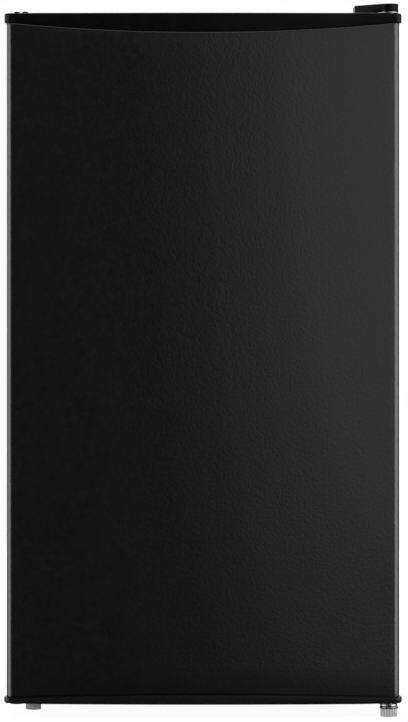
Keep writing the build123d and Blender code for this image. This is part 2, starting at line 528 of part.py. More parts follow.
with BuildPart() as cord_gland:
    rod_y(-196.0, 35.0, 201.0, 209.0, 7.9)
    rod_y(-196.0, 35.0, 206.0, 209.5, 10.5)
    rod_y(-196.0, 35.0, 201.0, 203.8, 9.4)
    rod_y(-196.0, 35.0, 200.0, 210.0, 4.0, mode=Mode.SUBTRACT)
keep("cord_gland", cord_gland.part)

CX, CY = -60.0, 138.0
with BuildPart() as compressor_shell:
    with BuildSketch(Plane.XY.offset(30.0)):
        with Locations((CX, CY)):
            SlotOverall(150.0, 116.0)
    extrude(amount=150.0)
    fillet(compressor_shell.faces().sort_by(Axis.Z)[-1].edges(), 34.0)
    fillet(compressor_shell.faces().sort_by(Axis.Z)[0].edges(), 20.0)
    with BuildSketch(Plane.XY.offset(96.0)):
        with Locations((CX, CY)):
            SlotOverall(155.0, 121.0)
    extrude(amount=5.0)
    # welded mounting plate
    slab(CX - 84, CX + 84, CY - 54, CY + 54, 27.0, 30.0)
    slab(CX - 52, CX + 52, CY - 60, CY - 44, 26.0, 31.0, mode=Mode.SUBTRACT)
    slab(CX - 52, CX + 52, CY + 44, CY + 60, 26.0, 31.0, mode=Mode.SUBTRACT)
    for x in (-132.0, 12.0):
        for y in (92.0, 184.0):
            rod(x, y, 26.0, 31.0, 6.0, mode=Mode.SUBTRACT)
    # hollow inside
    with BuildSketch(Plane.XY.offset(48.0)):
        with Locations((CX, CY)):
            SlotOverall(142.0, 108.0)
    extrude(amount=96.0, mode=Mode.SUBTRACT)
keep("compressor_shell", compressor_shell.part)

with BuildPart() as compressor_grommets:
    for x in (-132.0, 12.0):
        for y in (92.0, 184.0):
            rod(x, y, Z_CAB_BOT + 2.0, 27.0, 8.5)
            rod(x, y, 27.0, 30.2, 5.9)
            rod(x, y, 30.2, 33.4, 8.0)
            rod(x, y, 16.0, 34.0, 3.6, mode=Mode.SUBTRACT)
keep("compressor_grommets", compressor_grommets.part)

with BuildPart() as compressor_bolts:
    for x in (-132.0, 12.0):
        for y in (92.0, 184.0):
            rod(x, y, Z_CAB_BOT - 3.0, 33.6, 3.4)
            rod(x, y, 33.6, 37.0, 6.5)
            rod(x, y, Z_CAB_BOT - 3.0, Z_CAB_BOT, 6.0)
keep("compressor_bolts", compressor_bolts.part)

with BuildPart() as terminal_cover:
    slab(-176.0, -110.0, CY - 26, CY + 26, 62.0, 122.0)
    fillet(terminal_cover.edges().filter_by(Axis.X), 6.0)
    fillet(terminal_cover.faces().sort_by(Axis.X)[0].edges(), 4.0)
    with BuildSketch(Plane.XY.offset(50.0)):
        with Locations((CX, CY)):
            SlotOverall(155.8, 121.8)
    extrude(amount=100.0, mode=Mode.SUBTRACT)
keep("terminal_cover", terminal_cover.part)

with BuildPart() as evaporation_pan:
    slab(-122.0, 2.0, 84.0, 192.0, 180.2, 202.0)
    fillet(evaporation_pan.edges().filter_by(Axis.Z), 10.0)
    slab(-120.0, 0.0, 86.0, 190.0, 182.4, 210.0, mode=Mode.SUBTRACT)
keep("evaporation_pan", evaporation_pan.part)

with BuildPart() as drain_tube:
    rod(-60.0, 100.0, 192.0, Z_STEP - SHEET, 6.0)
    rod(-60.0, 100.0, 190.0, Z_STEP, 4.4, mode=Mode.SUBTRACT)
keep("drain_tube", drain_tube.part)

# refrigerant tubes
with BuildPart() as suction_tube:
    with BuildLine() as run:
        FilletPolyline((18.0, 150.0, 84.0), (62.0, 150.0, 84.0), (62.0, 104.0, 84.0), (62.0, 104.0, Z_STEP - SHEET), radius=16.0)
    with BuildSketch(Plane(origin=run.line @ 0, z_dir=run.line % 0)):
        Circle(3.2)
    sweep()
keep("suction_tube", suction_tube.part)

with BuildPart() as process_tube:
    with BuildLine() as run:
        FilletPolyline((18.0, 126.0, 70.0), (44.0, 126.0, 70.0), (44.0, 126.0, 128.0), radius=14.0)
    with BuildSketch(Plane(origin=run.line @ 0, z_dir=run.line % 0)):
        Circle(3.2)
    sweep()
    slab(40.0, 48.0, 121.0, 124.6, 116.0, 129.0, mode=Mode.SUBTRACT)
    slab(40.0, 48.0, 127.4, 131.0, 116.0, 129.0, mode=Mode.SUBTRACT)
keep("process_tube", process_tube.part)

with BuildPart() as discharge_tube:
    with BuildLine() as run:
        FilletPolyline((14.0, 168.0, 70.0), (96.0, 168.0, 70.0), (96.0, Y_COIL, 70.0), (217.0, Y_COIL, 70.0), (217.0, Y_COIL, Z_COIL_TOP), (203.0, Y_COIL, Z_COIL_TOP), radius=12.0)
    with BuildSketch(Plane(origin=run.line @ 0, z_dir=run.line % 0)):
        Circle(COIL_R)
    sweep()
keep("discharge_tube", discharge_tube.part)

# serpentine condenser, its outlet runs down into the drier
coil_points = [(203.0, Y_COIL, Z_COIL_TOP)]
for k in range(PASSES):
    z = Z_COIL_TOP - k * PITCH
    end = -COIL_HALF - 20 if k % 2 == 0 else COIL_HALF + 20
    if k == PASSES - 1:
        end = 196.0
    coil_points.append((end, Y_COIL, z))
    if k < PASSES - 1:
        coil_points.append((end, Y_COIL, z - PITCH))
coil_points.append((196.0, Y_COIL, 250.0))
with BuildPart() as condenser_coil:
    with BuildLine() as run:
        FilletPolyline(*coil_points, radius=20.0)
    with BuildSketch(Plane(origin=run.line @ 0, z_dir=run.line % 0)):
        Circle(COIL_R)
    sweep()
keep("condenser_coil", condenser_coil.part)

with BuildPart() as condenser_outlet:
    with BuildLine() as run:
        FilletPolyline((196.0, Y_COIL, 250.0), (196.0, Y_COIL, 190.0), (196.0, 160.0, 190.0), (196.0, 160.0, 170.0), radius=14.0)
    with BuildSketch(Plane(origin=run.line @ 0, z_dir=run.line % 0)):
        Circle(COIL_R)
    sweep()
keep("condenser_outlet", condenser_outlet.part)

WIRE_R = 0.8
WIRE_OFF = COIL_R + 0.35 + WIRE_R
Z_WIRE_LO, Z_WIRE_HI = Z_COIL_TOP - (PASSES - 1) * PITCH - 12, Z_COIL_TOP + 12
with BuildPart() as condenser_wires:
    for i in range(25):
        rod(-180.0 + 15.0 * i, Y_COIL + WIRE_OFF, Z_WIRE_LO, Z_WIRE_HI, WIRE_R)
    for i in range(24):
        rod(-172.5 + 15.0 * i, Y_COIL - WIRE_OFF, Z_WIRE_LO, Z_WIRE_HI, WIRE_R)
keep("condenser_wires", condenser_wires.part)

BRACKET_Z = (Z_COIL_TOP - PITCH, Z_COIL_TOP - 10 * PITCH)
with BuildPart() as condenser_brackets:
    for z in BRACKET_Z:
        for x in (-161.25, 161.25):
            slab(x - 2.4, x + 2.4, Y_CAB_BACK, Y_COIL - 4.0, z - 16, z + 16)
            slab(x - 9.0, x + 9.0, Y_CAB_BACK, Y_CAB_BACK + 3.0, z - 18, z + 18)
            slab(x - 2.4, x + 2.4, Y_COIL - 4.0, Y_COIL + 7.0, z - 7.0, z + 7.0)
            rod_x(Y_COIL, z, x - 4, x + 4, COIL_R + 0.4, mode=Mode.SUBTRACT)
keep("condenser_brackets", condenser_brackets.part)

with BuildPart() as filter_drier:
    with BuildSketch(Plane.XZ.offset(-160.0)):
        with BuildLine():
            Polyline(
                (196.0, 170.0), (198.5, 170.0), (198.8, 162.0), (205.0, 152.0), (205.0, 84.0),
                (198.5, 74.0), (197.4, 66.0), (196.0, 66.0), close=True,
            )
        make_face()
    revolve(axis=Axis((196.0, 160.0, 0.0), (0, 0, 1)))
keep("filter_drier", filter_drier.part)

with BuildPart() as capillary_tube:
    with BuildLine() as run:
        FilletPolyline((196.0, 160.0, 66.0), (196.0, 160.0, 44.0), (150.0, 160.0, 44.0), (150.0, 100.0, 44.0), (150.0, 100.0, Z_STEP - SHEET), radius=10.0)
    with BuildSketch(Plane(origin=run.line @ 0, z_dir=run.line % 0)):
        Circle(1.2)
    sweep()
keep("capillary_tube", capillary_tube.part)

# pegs that hold the condenser off the wall
with BuildPart() as wall_spacers:
    for x in (-206.0, 206.0):
        rod_y(x, 815.0, Y_CAB_BACK, 225.0, 8.0)
        rod_y(x, 815.0, Y_CAB_BACK, Y_CAB_BACK + 4.0, 13.0)
    fillet(wall_spacers.faces().filter_by(Plane.XZ).sort_by(Axis.Y)[-2:].edges(), 3.0)
keep("wall_spacers", wall_spacers.part)

# ------------------------------------------------------------------ inside: ice box
EV_HALF = 170.0
EV_Y0, EV_Y1 = -55.0, 120.0
EV_Z0, EV_Z1 = 660.0, 785.0
with BuildPart() as evaporator_box:
    with BuildSketch(Plane.XZ.offset(-EV_Y1)):
        with Locations((0, (EV_Z0 + EV_Z1) / 2)):
            RectangleRounded(2 * EV_HALF, EV_Z1 - EV_Z0, 9.0)
    extrude(amount=EV_Y1 - EV_Y0)
    with BuildSketch(Plane.XZ.offset(-EV_Y1 + 1.8)):
        with Locations((0, (EV_Z0 + EV_Z1) / 2)):
            RectangleRounded(2 * EV_HALF - 3.6, EV_Z1 - EV_Z0 - 3.6, 7.2)
    extrude(amount=EV_Y1 - EV_Y0 + 5, mode=Mode.SUBTRACT)
keep("evaporator_box", evaporator_box.part)

with BuildPart() as evaporator_hangers:
    for x in (-120.0, 120.0):
        for y in (-20.0, 90.0):
            rod(x, y, EV_Z1, IN_TOP, 8.0)
keep("evaporator_hangers", evaporator_hangers.part)

FLAP_Y, FLAP_Z = -64.5, 672.5
with BuildPart() as ice_box_frame:
    slab(-176.0, 176.0, -68.0, EV_Y0, 655.0, 790.0)
    fillet(ice_box_frame.edges().filter_by(Axis.Y), 8.0)
    slab(-160.0, 160.0, -70.0, -50.0, 668.5, 779.0, mode=Mode.SUBTRACT)
    rod_x(FLAP_Y, FLAP_Z, -166.0, 166.0, 2.55, mode=Mode.SUBTRACT)
keep("ice_box_frame", ice_box_frame.part)

with BuildPart() as ice_box_door:
    slab(-158.0, 158.0, -66.0, -58.0, 670.0, 777.0)
    fillet(ice_box_door.edges().filter_by(Axis.Y).group_by(Axis.Z)[-1], 8.0)
    slab(-150.0, 150.0, -62.5, -57.0, 682.0, 769.0, mode=Mode.SUBTRACT)
    slab(-45.0, 45.0, -67.0, -64.0, 752.0, 770.0, mode=Mode.SUBTRACT)
    rod_x(FLAP_Y, FLAP_Z, -164.0, 164.0, 2.5)
    # rounded heel around the pivot
    with BuildSketch(Plane.YZ.offset(-158.0)):
        with Locations((FLAP_Y, FLAP_Z)):
            Circle(2.5)
    extrude(amount=316.0)
keep("ice_box_door", ice_box_door.part)

with BuildPart() as drip_tray_rails:
    for side in (-1, 1):
        slab(*sorted((side * 168.0, side * 170.0)), -45.0, 118.0, 644.5, 655.0)
        slab(*sorted((side * 159.0, side * 168.0)), -45.0, 118.0, 644.5, 647.5)
        slab(*sorted((side * 160.0, side * 170.0)), -45.0, 118.0, 655.0, EV_Z0)
keep("drip_tray_rails", drip_tray_rails.part)

with BuildPart() as drip_tray:
    slab(-157.0, 157.0, -52.0, 117.0, 628.0, 650.0)
    fillet(drip_tray.edges().filter_by(Axis.Z), 6.0)
    slab(-166.0, 166.0, -44.0, 117.0, 647.8, 650.0)
    slab(-155.0, 155.0, -50.0, 115.0, 630.2, 655.0, mode=Mode.SUBTRACT)
    slab(-40.0, 40.0, -60.0, -52.0, 640.0, 643.0)
keep("drip_tray", drip_tray.part)

# ------------------------------------------------------------------ inside: shelves and control
for shelf_z, prefix in ((UPPER_SHELF_Z, "upper_shelf"), (LOWER_SHELF_Z, "lower_shelf")):
    with BuildPart() as glass:
        slab(-192.0, 192.0, -70.0, 128.0, shelf_z, shelf_z + 4.0)
        fillet(glass.edges().filter_by(Axis.Z), 3.0)
    keep(prefix + "_glass", glass.part)
    with BuildPart() as trim:
        with BuildSketch(Plane.YZ.offset(-186.5)):
            with BuildLine():
                Polyline((-80.0, shelf_z - 6), (-74.0, shelf_z - 9), (-62.0, shelf_z - 2.2), (-62.0, shelf_z + 6.2), (-76.0, shelf_z + 6.2), (-80.0, shelf_z + 3.0), close=True)
            make_face()
        extrude(amount=373.0)
        slab(-193.0, 193.0, -70.2, -60.0, shelf_z - 0.1, shelf_z + 4.1, mode=Mode.SUBTRACT)
    keep(prefix + "_front_trim", trim.part)

TH_Y, TH_Z = -36.0, 588.0
with BuildPart() as thermostat_housing:
    slab(168.0, IN_HALF, -84.0, 12.0, 556.0, 620.0)
    fillet(thermostat_housing.faces().sort_by(Axis.X)[0].edges(), 6.0)
    slab(171.0, IN_HALF + 1, -81.0, 9.0, 559.0, 617.0, mode=Mode.SUBTRACT)
    rod_x(TH_Y, TH_Z, 160.0, 180.0, 4.2, mode=Mode.SUBTRACT)
keep("thermostat_housing", thermostat_housing.part)

with BuildPart() as thermostat_switch:
    slab(174.0, IN_HALF, TH_Y - 20, TH_Y + 20, TH_Z - 16, TH_Z + 16)
    rod_x(TH_Y, TH_Z, 158.0, 175.0, 3.0)
keep("thermostat_switch", thermostat_switch.part)

with BuildPart() as thermostat_knob:
    rod_x(TH_Y, TH_Z, 164.0, 167.6, 20.0)
    rod_x(TH_Y, TH_Z, 152.0, 165.0, 15.0)
    fillet(thermostat_knob.faces().sort_by(Axis.X)[0].edges(), 1.5)
    for k in range(18):
        a = 2 * math.pi * k / 18
        rod_x(TH_Y + 15.3 * math.cos(a), TH_Z + 15.3 * math.sin(a), 150.0, 163.0, 1.3, mode=Mode.SUBTRACT)
    rod_x(TH_Y, TH_Z, 157.5, 168.0, 3.05, mode=Mode.SUBTRACT)
keep("thermostat_knob", thermostat_knob.part)

# ------------------------------------------------------------------ write
for name, part in FINISHED.items():
    export_step(part, f"parts/{name}.step")
print(len(FINISHED), "nodes")
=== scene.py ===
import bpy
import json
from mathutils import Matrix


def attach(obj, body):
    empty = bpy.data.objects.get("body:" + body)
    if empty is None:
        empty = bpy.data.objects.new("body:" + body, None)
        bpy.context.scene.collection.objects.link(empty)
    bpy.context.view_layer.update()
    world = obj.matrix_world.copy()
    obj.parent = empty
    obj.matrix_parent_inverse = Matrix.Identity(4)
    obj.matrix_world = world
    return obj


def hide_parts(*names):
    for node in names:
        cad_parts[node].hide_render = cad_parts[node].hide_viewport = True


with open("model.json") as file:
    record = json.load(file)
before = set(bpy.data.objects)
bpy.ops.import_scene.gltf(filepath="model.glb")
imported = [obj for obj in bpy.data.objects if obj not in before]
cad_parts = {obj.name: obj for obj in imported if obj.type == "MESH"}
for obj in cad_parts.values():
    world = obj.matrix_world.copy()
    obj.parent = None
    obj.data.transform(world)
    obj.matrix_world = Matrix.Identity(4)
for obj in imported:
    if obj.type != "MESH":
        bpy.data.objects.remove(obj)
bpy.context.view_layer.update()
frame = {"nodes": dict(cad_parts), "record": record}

import json
import math

import bmesh
import bpy
from mathutils import Vector

# ---------------------------------------------------------------- sizes shared with the model (metres)
MM = 0.001
PANEL_HALF, Y_CROWN, BOW, CORNER = 233.3, -225.0, 10.0, 7.5
BOW_R = (PANEL_HALF**2 + BOW**2) / (2 * BOW)
Z_TOP_EAR, Z_BOT_EAR, TOP_ARCH_MID, BOT_ARCH_MID = 825.3, 24.6, 812.9, 29.4
Y_SKIN_BACK = -180.0
HX, HY = 221.6, -199.0

scene = bpy.context.scene
scene.view_settings.view_transform = "Standard"
scene.view_settings.look = "None"

# ---------------------------------------------------------------- camera
cam_data = bpy.data.cameras.new("photo_camera")
cam = bpy.data.objects.new("photo_camera", cam_data)
scene.collection.objects.link(cam)
cam_data.sensor_width = 36.0
cam_data.lens = 36.0 * 3500.0 / (722 * 1.188)
cam_data.clip_start, cam_data.clip_end = 0.05, 60.0
cam.location = (1.2 * MM, (-212.0 - 3500.0) * MM, 423.5 * MM)
cam.rotation_euler = (math.radians(90), 0, 0)
scene.camera = cam


# ---------------------------------------------------------------- materials
def nodes_of(name):
    mat = bpy.data.materials.new(name)
    mat.use_nodes = True
    nt = mat.node_tree
    bsdf = next(n for n in nt.nodes if n.type == "BSDF_PRINCIPLED")
    tc = nt.nodes.new("ShaderNodeTexCoord")
    return mat, nt, bsdf, tc


def noise(nt, tc, scale, detail=3.0, rough=0.55, stretch=None):
    n = nt.nodes.new("ShaderNodeTexNoise")
    n.inputs["Scale"].default_value = scale
    n.inputs["Detail"].default_value = detail
    n.inputs["Roughness"].default_value = rough
    if stretch:
        m = nt.nodes.new("ShaderNodeMapping")
        m.inputs["Scale"].default_value = stretch
        nt.links.new(tc.outputs["Object"], m.inputs["Vector"])
        nt.links.new(m.outputs["Vector"], n.inputs["Vector"])
    else:
        nt.links.new(tc.outputs["Object"], n.inputs["Vector"])
    return n


def ramp(nt, source, lo, hi, a=0.35, b=0.65):
    r = nt.nodes.new("ShaderNodeValToRGB")
    r.color_ramp.elements[0].position, r.color_ramp.elements[1].position = a, b
    r.color_ramp.elements[0].color = (*lo, 1)
    r.color_ramp.elements[1].color = (*hi, 1)
    nt.links.new(source, r.inputs["Fac"])
    return r


def spread(nt, source, lo, hi, a=0.3, b=0.7):
    m = nt.nodes.new("ShaderNodeMapRange")
    m.inputs["From Min"].default_value, m.inputs["From Max"].default_value = a, b
    m.inputs["To Min"].default_value, m.inputs["To Max"].default_value = lo, hi
    nt.links.new(source, m.inputs["Value"])
    return m


def surface(name, lo, hi, cscale, rough, rscale, bump=None, metallic=0.0, stretch=None, cells=False, **sockets):
    """A procedural finish: colour and roughness drift, and a fine relief. bump is (scale, distance in metres, strength)."""
    mat, nt, bsdf, tc = nodes_of(name)
    c = noise(nt, tc, cscale, 4.0, stretch=stretch)
    nt.links.new(ramp(nt, c.outputs["Fac"], lo, hi).outputs["Color"], bsdf.inputs["Base Color"])
    r = noise(nt, tc, rscale, 3.0, stretch=stretch)
    nt.links.new(spread(nt, r.outputs["Fac"], *rough).outputs["Result"], bsdf.inputs["Roughness"])
    if bump:
        if cells:
            h = nt.nodes.new("ShaderNodeTexVoronoi")
            h.feature = "SMOOTH_F1"
            h.inputs["Scale"].default_value = bump[0]
            h.inputs["Smoothness"].default_value = 0.6
            nt.links.new(tc.outputs["Object"], h.inputs["Vector"])
            height = h.outputs["Distance"]
        else:
            height = noise(nt, tc, bump[0], 2.0, stretch=stretch).outputs["Fac"]
        b = nt.nodes.new("ShaderNodeBump")
        b.inputs["Distance"].default_value = bump[1]
        b.inputs["Strength"].default_value = bump[2]
        nt.links.new(height, b.inputs["Height"])
        nt.links.new(b.outputs["Normal"], bsdf.inputs["Normal"])
    bsdf.inputs["Metallic"].default_value = metallic
    for key, value in sockets.items():
        bsdf.inputs[key.replace("_", " ")].default_value = value
    return mat


M = {}
M["black_textured_steel"] = surface("door_black_paint", (0.0008, 0.0008, 0.0009), (0.0013, 0.0013, 0.0014), 30, (0.29, 0.335), 160, bump=(340, 0.00020, 1.0), Specular_IOR_Level=1.0)
M["black_cap_plastic"] = surface("black_cap_plastic", (0.0018, 0.0018, 0.0019), (0.0027, 0.0027, 0.0028), 60, (0.29, 0.36), 240, bump=(1500, 0.00003, 0.2), Specular_IOR_Level=0.12)
M["black_steel"] = surface("cabinet_black_paint", (0.0030, 0.0030, 0.0032), (0.0046, 0.0046, 0.0048), 24, (0.34, 0.42), 150, bump=(520, 0.00005, 0.4), Specular_IOR_Level=0.8)
M["dark_back_steel"] = surface("back_sheet_paint", (0.070, 0.070, 0.073), (0.092, 0.092, 0.095), 18, (0.42, 0.56), 90, bump=(400, 0.00004, 0.3))
M["frame_steel"] = surface("border_paint", (0.006, 0.006, 0.0063), (0.009, 0.009, 0.0094), 40, (0.32, 0.40), 200, bump=(900, 0.00003, 0.3))
M["zinc_steel"] = surface("zinc_plate", (0.42, 0.42, 0.42), (0.56, 0.56, 0.58), 140, (0.30, 0.44), 420, bump=(900, 0.00002, 0.3), metallic=1.0)
M["white_liner"] = surface("liner_white", (0.775, 0.78, 0.775), (0.79, 0.795, 0.79), 6, (0.29, 0.33), 30, bump=(420, 0.00001, 0.2))
M["clear_tray_plastic"] = surface("clear_tray", (0.93, 0.95, 0.95), (0.97, 0.98, 0.98), 20, (0.05, 0.09), 60, bump=(120, 0.00001, 0.15), Transmission_Weight=0.93, IOR=1.49)
M["flap_plastic"] = surface("flap_frosted", (0.84, 0.88, 0.90), (0.90, 0.93, 0.94), 20, (0.30, 0.36), 120, bump=(500, 0.00002, 0.25), Transmission_Weight=0.5, IOR=1.49)
M["trim_plastic"] = surface("white_trim", (0.74, 0.75, 0.75), (0.78, 0.79, 0.79), 30, (0.29, 0.36), 150, bump=(700, 0.00002, 0.2))
M["knob_plastic"] = surface("knob_white", (0.72, 0.73, 0.73), (0.77, 0.78, 0.78), 60, (0.29, 0.34), 200, bump=(800, 0.00002, 0.2))
M["shelf_glass"] = surface("shelf_glass", (0.90, 0.97, 0.95), (0.94, 0.99, 0.975), 10, (0.01, 0.04), 30, bump=(60, 0.00001, 0.08), Transmission_Weight=1.0, IOR=1.52)
M["foam"] = surface("rigid_foam", (0.68, 0.58, 0.34), (0.78, 0.68, 0.44), 60, (0.80, 0.95), 200, bump=(500, 0.0003, 0.6))
M["seal_rubber"] = surface("seal_rubber", (0.014, 0.014, 0.0145), (0.022, 0.022, 0.0225), 50, (0.46, 0.58), 200, bump=(900, 0.00003, 0.3))
M["grey_foot_plastic"] = surface("foot_grey", (0.42, 0.42, 0.425), (0.56, 0.56, 0.565), 120, (0.34, 0.46), 400, bump=(900, 0.00004, 0.3))
M["compressor_paint"] = surface("compressor_enamel", (0.008, 0.008, 0.008), (0.016, 0.016, 0.016), 30, (0.29, 0.36), 80, bump=(160, 0.00010, 0.3))
M["black_tube_steel"] = surface("tube_black", (0.010, 0.010, 0.010), (0.018, 0.018, 0.018), 60, (0.32, 0.46), 200, bump=(600, 0.00003, 0.3))
M["copper"] = surface("drawn_copper", (0.46, 0.21, 0.11), (0.70, 0.36, 0.22), 90, (0.29, 0.42), 220, bump=(700, 0.00002, 0.3), metallic=1.0)
M["evaporator_aluminium"] = surface("evaporator_sheet", (0.66, 0.68, 0.71), (0.76, 0.78, 0.80), 60, (0.30, 0.46), 180, bump=(260, 0.00005, 0.3), metallic=0.85)
M["pan_plastic"] = surface("pan_plastic", (0.035, 0.035, 0.037), (0.050, 0.050, 0.052), 60, (0.44, 0.58), 200, bump=(500, 0.00005, 0.35))
# the lower cap's black is lighter than the upper cap's: painted light, for light thrown up from the floor below
CAP_PAINTED_FLOOR_LIGHT = surface("black_cap_plastic_painted_floor_light", (0.0030, 0.0030, 0.0031), (0.0044, 0.0044, 0.0045), 60, (0.29, 0.36), 240, bump=(1500, 0.00003, 0.2), Specular_IOR_Level=0.4)
HINGE_COVER = surface("black_cover_plastic", (0.0018, 0.0018, 0.0019), (0.0027, 0.0027, 0.0028), 60, (0.30, 0.36), 240, bump=(1400, 0.00003, 0.2), Specular_IOR_Level=0.065)
# a darker copy of the foot grey for the left front foot: painted shade, as that foot stands in shadow
FOOT_PAINTED_SHADE = surface("foot_grey_painted_shade", (0.16, 0.16, 0.165), (0.24, 0.24, 0.245), 120, (0.36, 0.48), 400, bump=(900, 0.00004, 0.3))

slot_of = {s["node"]: s["material_slot"] for s in frame["record"]["subparts"]}


def smooth(obj, angle=32.0, width=0.0, segments=2):
    """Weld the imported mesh, round its sharp edges a little and shade it by angle, without touching its own vertices."""
    for p in obj.data.polygons:
        p.use_smooth = True
    w = obj.modifiers.new("weld", "WELD")
    w.merge_threshold = 0.000004
    if width:
        b = obj.modifiers.new("edge", "BEVEL")
        b.width = width
        b.segments = segments
        b.limit_method = "ANGLE"
        b.angle_limit = math.radians(angle)
        b.harden_normals = False
        b.miter_outer = "MITER_ARC"
    n = obj.modifiers.new("normals", "WEIGHTED_NORMAL")
    n.keep_sharp = True
    n.weight = 60


def assign(obj, mat):
    obj.data.materials.clear()
    obj.data.materials.append(mat)


BEVEL = {  # edge rounding of carried-over nodes, in metres
    "cabinet_wrapper": 0.0004, "back_panel": 0.0003, "front_frame": 0.0004, "inner_liner": 0.0008,
    "door_liner": 0.0012, "door_rack_lower": 0.0008, "door_rack_middle": 0.0008, "door_rack_upper": 0.0008,
    "ice_box_frame": 0.0012, "ice_box_door": 0.0010, "drip_tray": 0.0007, "drip_tray_rails": 0.0005,
    "upper_shelf_front_trim": 0.0012, "lower_shelf_front_trim": 0.0012, "thermostat_housing": 0.0008,
    "evaporation_pan": 0.0006, "terminal_cover": 0.0008, "lower_hinge_bracket": 0.0005, "upper_hinge_plate": 0.0004,
    "compressor_base": 0.0004, "upper_hinge_cover": 0.0004, "front_foot_left": 0.0004, "front_foot_right": 0.0003,
}
for name, obj in frame["nodes"].items():
    assign(obj, M[slot_of[name]])
    smooth(obj, width=BEVEL.get(name, 0.0))
# the left front foot takes the darker copy of the foot grey, painted shade
assign(frame["nodes"]["front_foot_left"], FOOT_PAINTED_SHADE)
assign(frame["nodes"]["upper_hinge_cover"], HINGE_COVER)


def new_piece(name, bm, mat, body, stands_for=(), shade=True, angle=40.0):
    mesh = bpy.data.meshes.new(name)
    bmesh.ops.recalc_face_normals(bm, faces=bm.faces)
    bm.to_mesh(mesh)
    bm.free()
    obj = bpy.data.objects.new(name, mesh)
    scene.collection.objects.link(obj)
    if shade:
        for p in mesh.polygons:
            p.use_smooth = True
        mesh.set_sharp_from_angle(angle=math.radians(angle))
    mesh.materials.append(mat)
    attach(obj, body)
    if stands_for:
        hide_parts(*stands_for)
    return obj


# ---------------------------------------------------------------- door front: plan outlines, skin and end caps
def outline(half, inset, corner, y_back, half_back=None, n_front=120, n_corner=14, n_side=5):
    """Points (x, y, nx, ny) along a bowed front, from the back of the left side round to the back of the right one."""
    rad, oy = BOW_R - inset, Y_CROWN + BOW_R
    back = half if half_back is None else half_back
    vertex = Vector((half, oy - math.sqrt(rad * rad - half * half)))
    d = (Vector((back, y_back)) - vertex).normalized()
    n_in = Vector((-d.y, d.x))
    q = vertex + n_in * corner - Vector((0, oy))
    t = -q.dot(d) - math.sqrt(q.dot(d) ** 2 - q.dot(q) + (rad - corner) ** 2)
    c = vertex + n_in * corner + d * t
    a_front, a_side = math.atan2(c.y - oy, c.x), math.atan2(-n_in.y, -n_in.x)
    tangent = c - n_in * corner
    right = []
    for i in range(n_corner + 1):
        a = a_front + (a_side - a_front) * i / n_corner
        right.append((c.x + corner * math.cos(a), c.y + corner * math.sin(a), math.cos(a), math.sin(a)))
    for i in range(1, n_side + 1):
        p = tangent + (Vector((back, y_back)) - tangent) * (i / n_side)
        right.append((p.x, p.y, -n_in.x, -n_in.y))
    front = []
    for i in range(1, n_front):
        a = (-math.pi - a_front) + (2 * a_front + math.pi) * i / n_front
        front.append((rad * math.cos(a), oy + rad * math.sin(a), math.cos(a), math.sin(a)))
    left = [(-x, y, -nx, ny) for x, y, nx, ny in reversed(right)]
    return left + front + right


def arch(x, side, mid, edge):
    s = side - mid
    rad = (edge * edge + s * s) / (2 * abs(s))
    d = rad - math.sqrt(rad * rad - x * x)
    return mid + d if s > 0 else mid - d


def door_skin():
    roll, t = 0.95, 1.0
    bm = bmesh.new()
    cols = []
    for x, y, nx, ny in outline(PANEL_HALF, 0.01, CORNER, Y_SKIN_BACK):
        zt = arch(x, Z_TOP_EAR + 0.1, TOP_ARCH_MID, PANEL_HALF + 1)
        zb = arch(x, Z_BOT_EAR - 0.1, BOT_ARCH_MID, PANEL_HALF + 1)
        ring = []
        for i in range(5):
            a = math.pi / 2 * (1 - i / 4)
            ring.append((roll * (1 - math.cos(a)), zb + roll - roll * math.sin(a)))
        for i in range(1, 24):
            ring.append((0.0, zb + roll + (zt - zb - 2 * roll) * i / 24))
        for i in range(5):
            a = math.pi / 2 * i / 4
            ring.append((roll * (1 - math.cos(a)), zt - roll + roll * math.sin(a)))
        ring.append((t, zt - 0.05))
        for i in range(1, 6):
            ring.append((t, zt - 0.05 - (zt - zb - 0.1) * i / 6))
        ring.append((t, zb + 0.05))
        cols.append([bm.verts.new(((x - nx * d) * MM, (y - ny * d) * MM, z * MM)) for d, z in ring])
    m = len(cols[0])
    for a, b in zip(cols, cols[1:]):
        for j in range(m):
            k = (j + 1) % m
            bm.faces.new((a[j], b[j], b[k], a[k]))
    bm.faces.new(cols[0])
    bm.faces.new(list(reversed(cols[-1])))
    return bm


new_piece("door_skin", door_skin(), M["black_textured_steel"], "door", ("door_outer_panel",), angle=50)


def stacked(plan, levels, cavity, tubes):
    """A hollow cap of stacked plan outlines, open at its first level. Each level gives, for a point of the plan, its setback
    and its height. cavity is (plan, z at the mouth, z of its end); tubes are upright bosses (x, y, z0, z1, bore, r)."""
    bm = bmesh.new()
    loops = []
    for level in levels:
        loop = []
        for x, y, nx, ny in plan:
            front = max(0.0, -ny) ** 3
            d, z = level(x, front)
            loop.append(bm.verts.new(((x - nx * d) * MM, (y - ny * d) * MM, z * MM)))
        loops.append(loop)
    inside, z_mouth, z_end = cavity
    for z in (z_mouth, z_end):
        loops.insert(0, [bm.verts.new((x * MM, y * MM, z * MM)) for x, y, _, _ in inside])
    n = len(plan)
    for a, b in zip(loops, loops[1:]):
        for i in range(n):
            k = (i + 1) % n
            bm.faces.new((a[i], a[k], b[k], b[i]))
    bm.faces.new(list(reversed(loops[0])))
    bm.faces.new(loops[-1])
    for x, y, z0, z1, r_in, r_out in tubes:
        rings = []
        for r, z in ((r_out, z0), (r_out, z1), (r_in, z1), (r_in, z0)):
            rings.append([bm.verts.new(((x + r * math.cos(t)) * MM, (y + r * math.sin(t)) * MM, z * MM)) for t in (2 * math.pi * i / 40 for i in range(40))])
        for j in range(4):
            for i in range(40):
                k = (i + 1) % 40
                bm.faces.new((rings[j][i], rings[j][k], rings[(j + 1) % 4][k], rings[(j + 1) % 4][i]))
    return bm


